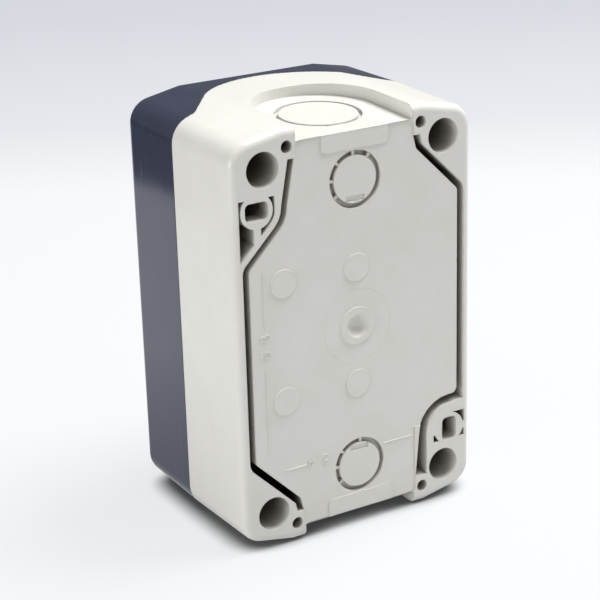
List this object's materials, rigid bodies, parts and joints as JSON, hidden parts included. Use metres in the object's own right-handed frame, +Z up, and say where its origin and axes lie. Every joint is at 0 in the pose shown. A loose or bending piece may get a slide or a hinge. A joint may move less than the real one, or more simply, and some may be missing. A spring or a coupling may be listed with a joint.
{
  "type": "pushbutton control station",
  "caption": "Surface-mounted control station with momentary start and stop push buttons, a double-walled rear base, arched cable entries and sprung contact blocks inside.",
  "frame": {"origin": "middle of the footprint of the whole part, on the floor under the lower end: half-way across the width, and half-way between the rear wall face and the front of the bezels", "axes": "+Z up along the height of the box, with the start head above the stop head; the buttons face -Y and the face that lies on the wall looks along +Y; +X is to the left when the rear is looked at"},
  "size_m": [0.068, 0.062, 0.106],
  "materials": {
    "base_plastic": "light grey self-coloured moulding, satin gloss",
    "cover_plastic": "slate grey self-coloured moulding, gloss",
    "seal_rubber": "matt black elastomer",
    "screw_steel": "bright zinc-plated steel",
    "start_cap_plastic": "green moulding, satin",
    "stop_cap_plastic": "red moulding, satin",
    "bezel_plastic": "black glass-filled moulding, satin",
    "nut_plastic": "dark grey moulding, matt",
    "pusher_plastic": "natural white acetal, satin",
    "spring_steel": "drawn stainless spring wire",
    "block_plastic": "off-white polyamide, matt",
    "lid_plastic": "grey polyamide, matt",
    "plunger_plastic": "blue acetal, satin",
    "contact_brass": "stamped brass strip with silver pads"
  },
  "bodies": {
    "enclosure": {"rear_base": "base_plastic", "front_cover": "cover_plastic", "cover_gasket": "seal_rubber", "cover_screws": "screw_steel", "start_bezel": "bezel_plastic", "start_panel_seal": "seal_rubber", "start_ring_nut": "nut_plastic", "start_return_spring": "spring_steel", "start_block_housing": "block_plastic", "start_block_lid": "lid_plastic", "start_block_spring": "spring_steel", "start_fixed_contacts": "contact_brass", "start_terminal_screws": "screw_steel", "start_wire_clamps": "screw_steel", "start_block_screw": "screw_steel", "stop_bezel": "bezel_plastic", "stop_panel_seal": "seal_rubber", "stop_ring_nut": "nut_plastic", "stop_return_spring": "spring_steel", "stop_block_housing": "block_plastic", "stop_block_lid": "lid_plastic", "stop_block_spring": "spring_steel", "stop_fixed_contacts": "contact_brass", "stop_terminal_screws": "screw_steel", "stop_wire_clamps": "screw_steel", "stop_block_screw": "screw_steel"},
    "start_button": {"start_button_cap": "start_cap_plastic", "start_pusher": "pusher_plastic"},
    "start_contact": {"start_block_plunger": "plunger_plastic", "start_contact_bridge": "contact_brass", "start_contact_spring": "spring_steel"},
    "stop_button": {"stop_button_cap": "stop_cap_plastic", "stop_pusher": "pusher_plastic"},
    "stop_contact": {"stop_block_plunger": "plunger_plastic", "stop_contact_bridge": "contact_brass", "stop_contact_spring": "spring_steel"}
  },
  "joints": [
    {"name": "start_button_press", "type": "slide", "parent": "enclosure", "child": "start_button", "axis": [0, 1, 0], "range_m": [0, 0.0043], "stiffness_N_per_m": 1500, "deforming": ["start_return_spring"]},
    {"name": "start_contact_press", "type": "slide", "parent": "enclosure", "child": "start_contact", "axis": [0, 1, 0], "range_m": [0, 0.0043], "stiffness_N_per_m": 400, "deforming": ["start_block_spring"]},
    {"name": "stop_button_press", "type": "slide", "parent": "enclosure", "child": "stop_button", "axis": [0, 1, 0], "range_m": [0, 0.0043], "stiffness_N_per_m": 1500, "deforming": ["stop_return_spring"]},
    {"name": "stop_contact_press", "type": "slide", "parent": "enclosure", "child": "stop_contact", "axis": [0, 1, 0], "range_m": [0, 0.0043], "stiffness_N_per_m": 400, "deforming": ["stop_block_spring"]}
  ],
  "couplings": [
    {"joint": "start_contact_press", "follows": "start_button_press", "ratio": 1},
    {"joint": "stop_contact_press", "follows": "stop_button_press", "ratio": 1}
  ]
}
